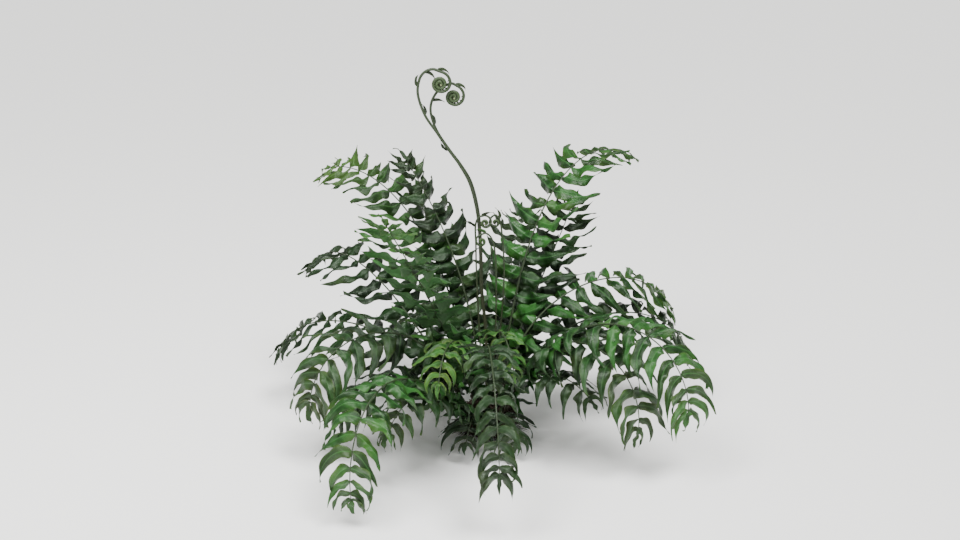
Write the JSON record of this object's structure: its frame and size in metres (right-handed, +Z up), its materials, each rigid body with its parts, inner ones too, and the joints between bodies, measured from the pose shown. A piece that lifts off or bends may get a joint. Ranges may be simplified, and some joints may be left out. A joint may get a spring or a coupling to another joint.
{
  "type": "sword fern plant",
  "caption": "Whole evergreen fern: a tuft of arching fronds with paired wavy leaflets and coiled young shoots, rising from a squat scaly crown that stands on its flat foot.",
  "frame": {"origin": "middle of the flat underside of the crown, on the surface it rests on", "axes": "+Z up through the crown; the camera of the picture looks along +Y, with +X to its right"},
  "size_m": [0.9158, 0.9007, 0.7591],
  "materials": {
    "frond_deep_green": "glossy, leathery leaf",
    "frond_mid_green": "glossy, leathery leaf",
    "frond_fresh_green": "glossy, leathery leaf",
    "frond_bright_green": "glossy, leathery leaf",
    "frond_young_green": "glossy, leathery leaf",
    "crozier_stalk": "satin, finely scaly",
    "crown_scales": "matt, scaly and fibrous"
  },
  "bodies": {
    "root": {"frond_back_left_tall": "frond_deep_green", "frond_back_left_long": "frond_fresh_green", "frond_left_near_tall": "frond_bright_green", "frond_left_mid": "frond_deep_green", "frond_left_low_near": "frond_mid_green", "frond_left_low_far": "frond_deep_green", "frond_left_short": "frond_deep_green", "frond_front_left": "frond_bright_green", "frond_front_left_short": "frond_mid_green", "frond_front_low_left": "frond_deep_green", "frond_front": "frond_deep_green", "frond_front_low_right": "frond_deep_green", "frond_front_right_short": "frond_deep_green", "frond_front_right": "frond_mid_green", "frond_right_low": "frond_bright_green", "frond_right_mid": "frond_deep_green", "frond_right_high": "frond_bright_green", "frond_back_right_low": "frond_deep_green", "frond_back_right_tall": "frond_bright_green", "frond_back_tall": "frond_deep_green", "frond_back_right_arched": "frond_mid_green", "frond_back_left_arched": "frond_mid_green", "frond_young_left": "frond_young_green", "frond_young_right": "frond_young_green", "crozier_tall_front": "crozier_stalk", "crozier_tall_back": "crozier_stalk", "crozier_small_left": "crozier_stalk", "crozier_small_middle": "frond_young_green", "crozier_small_right": "crozier_stalk", "crown": "crown_scales"}
  },
  "joints": []
}
